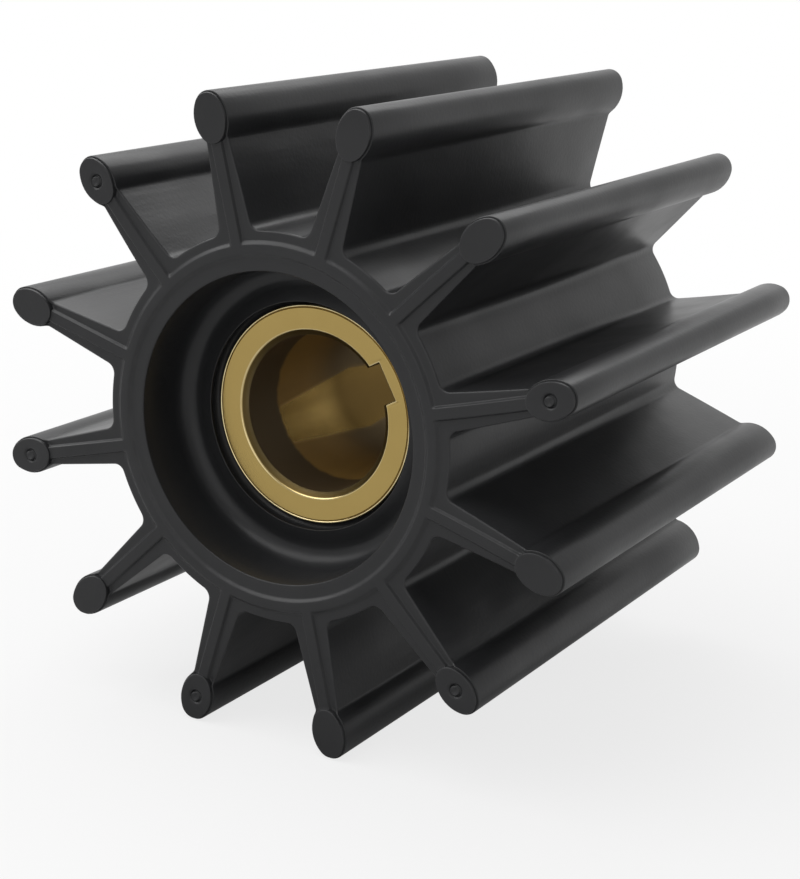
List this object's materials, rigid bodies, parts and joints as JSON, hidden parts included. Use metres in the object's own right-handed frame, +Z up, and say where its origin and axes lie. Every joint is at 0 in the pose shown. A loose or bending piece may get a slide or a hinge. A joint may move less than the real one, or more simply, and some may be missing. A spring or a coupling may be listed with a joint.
{
  "type": "flexible rubber pump impeller",
  "caption": "Flexible rubber impeller with straight radial vanes and oval tip beads, moulded round a keyed brass insert that is set back in the hub.",
  "frame": {"origin": "on the shaft axis, midway between the two ends of the impeller", "axes": "+Y runs along the shaft axis from the front end to the back end, +X to the right seen from the front, +Z up as the impeller lies on two neighbouring vane tips; the keyway lies 30 degrees up from +X, midway between two vanes"},
  "size_m": [0.1016, 0.0888, 0.1016],
  "materials": {
    "rubber": "satin moulded black rubber",
    "brass": "fine turned, slightly dulled"
  },
  "bodies": {
    "root": {"rubber_body": "rubber", "brass_insert": "brass"}
  },
  "joints": []
}
